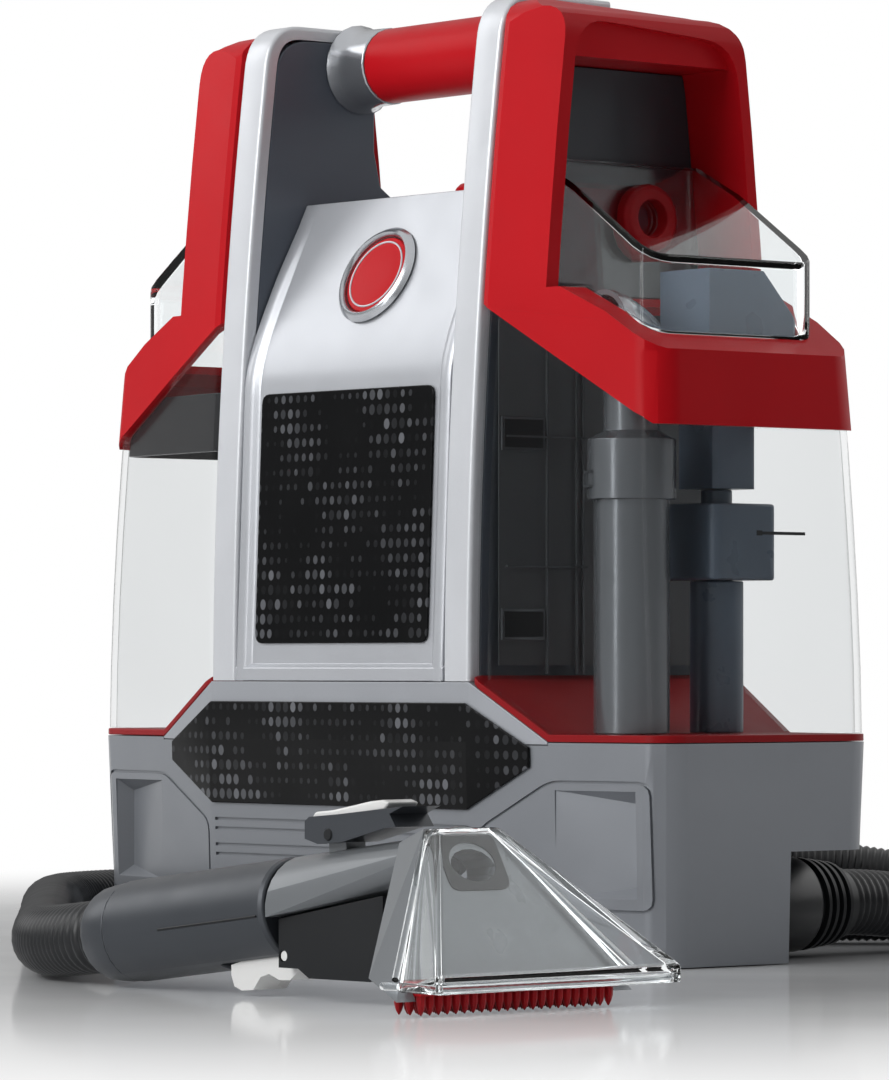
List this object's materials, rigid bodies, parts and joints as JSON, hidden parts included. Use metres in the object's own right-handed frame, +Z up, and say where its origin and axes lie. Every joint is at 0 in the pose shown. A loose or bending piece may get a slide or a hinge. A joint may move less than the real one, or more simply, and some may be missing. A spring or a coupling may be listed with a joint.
{
  "type": "carpet cleaner machine",
  "caption": "Portable spot carpet cleaner with lift-off clean and dirty water tanks, a carrying handle, and a suction hose with a trigger hand tool.",
  "frame": {"origin": "on the floor under the middle of the base", "axes": "+Z up, +X towards the dirty water tank, +Y from the front panel to the back; the hand tool lies in front along +X"},
  "size_m": [0.5154, 0.6391, 0.3455],
  "materials": {
    "silver_plastic": "pale silver moulding, fine metallic fleck, satin",
    "base_grey": "mid-grey metallic moulding, satin",
    "dark_grey": "dark blue-grey moulding, fine texture",
    "red_gloss": "deep red gloss moulding",
    "red_satin": "dark red satin plastic",
    "black_gloss": "black, printed with pale grey dots",
    "black_plastic": "black moulded plastic",
    "clear_plastic": "clear moulded plastic",
    "pipe_grey": "glossy mid-grey plastic",
    "blue_grey": "glossy blue-grey plastic",
    "white_plastic": "white plastic",
    "hose_black": "black ribbed hose",
    "rubber_black": "soft black rubber",
    "steel": "plain steel"
  },
  "bodies": {
    "root": {"base_housing": "base_grey", "base_saddle": "base_grey", "foot_front_left": "rubber_black", "foot_front_right": "rubber_black", "foot_rear_left": "rubber_black", "foot_rear_right": "rubber_black", "base_plate": "dark_grey", "front_band": "black_gloss", "front_panel": "silver_plastic", "badge": "red_gloss", "label_plate": "black_gloss", "upright_right": "silver_plastic", "side_frame_right": "dark_grey", "upright_left": "silver_plastic", "side_frame_left": "dark_grey", "top_deck": "silver_plastic", "rear_cover": "dark_grey", "handle_grip": "red_gloss", "handle_sleeve_right": "silver_plastic", "handle_sleeve_left": "silver_plastic", "handle_core": "steel", "fan_housing": "black_plastic", "suction_motor": "steel", "pump": "black_plastic", "switch_module": "black_plastic", "power_cord_gland": "rubber_black", "suction_duct": "black_plastic", "hose_connector": "black_plastic", "solution_line": "white_plastic", "hose": "hose_black", "tool_cuff": "dark_grey", "tool_handle": "dark_grey", "tool_head": "base_grey", "tool_valve": "black_plastic", "brush": "red_satin"},
    "dirty_tank": {"dirty_tank_body": "clear_plastic", "dirty_tank_frame": "red_gloss", "dirty_tank_tray": "red_satin", "dirty_tank_liner": "dark_grey", "dirty_tank_dome": "clear_plastic", "standpipe": "pipe_grey", "elbow": "pipe_grey", "float_post": "blue_grey", "float_cage": "blue_grey", "outlet_seal": "red_satin"},
    "float": {"float": "blue_grey"},
    "clean_tank": {"clean_tank_body": "clear_plastic", "clean_tank_frame": "red_gloss", "clean_tank_tray": "red_satin", "clean_tank_liner": "dark_grey", "clean_tank_dome": "clear_plastic", "clean_tank_collar": "dark_grey"},
    "clean_valve": {"clean_tank_valve": "black_plastic"},
    "clean_cap": {"clean_tank_cap": "dark_grey"},
    "fan": {"impeller": "steel"},
    "power_button": {"power_button": "red_gloss"},
    "trigger": {"trigger": "white_plastic"},
    "latch": {"latch": "dark_grey"},
    "nozzle_hood": {"tool_hood": "clear_plastic"}
  },
  "joints": [
    {"name": "dirty_tank_lift", "type": "slide", "parent": "root", "child": "dirty_tank", "axis": [0, 0, 1], "range_m": [0, 0.08]},
    {"name": "float_rise", "type": "slide", "parent": "dirty_tank", "child": "float", "axis": [0, 0, 1], "range_m": [0, 0.005]},
    {"name": "clean_tank_lift", "type": "slide", "parent": "root", "child": "clean_tank", "axis": [0, 0, 1], "range_m": [0, 0.08]},
    {"name": "clean_valve_lift", "type": "slide", "parent": "clean_tank", "child": "clean_valve", "axis": [0, 0, 1], "range_m": [0, 0.003], "stiffness_N_per_m": 300, "springref_m": -0.002},
    {"name": "clean_cap_turn", "type": "hinge", "parent": "clean_tank", "child": "clean_cap", "pos_m": [-0.096, 0.035, 0.2363], "axis": [0, 0, 1], "range_deg": [0, 90]},
    {"name": "fan_spin", "type": "hinge", "parent": "root", "child": "fan", "pos_m": [0, 0.004, 0.14], "axis": [0, 0, 1], "continuous": true},
    {"name": "power_press", "type": "slide", "parent": "root", "child": "power_button", "axis": [0, 0, -1], "range_m": [0, 0.0025], "stiffness_N_per_m": 400, "springref_m": -0.002},
    {"name": "trigger_pull", "type": "hinge", "parent": "root", "child": "trigger", "pos_m": [0.21088, -0.243, 0.0135], "axis": [-0.0523, 0.9986, 0], "range_deg": [0, 7], "stiffness_Nm_per_rad": 0.06, "springref_deg": -8.59},
    {"name": "latch_tilt", "type": "hinge", "parent": "root", "child": "latch", "pos_m": [0.22686, -0.24217, 0.0515], "axis": [0.0523, -0.9986, 0], "range_deg": [0, 7], "stiffness_Nm_per_rad": 0.06, "springref_deg": -8.59},
    {"name": "nozzle_hood_slide", "type": "slide", "parent": "root", "child": "nozzle_hood", "axis": [0.9986, 0.0523, 0], "range_m": [0, 0.03]}
  ]
}
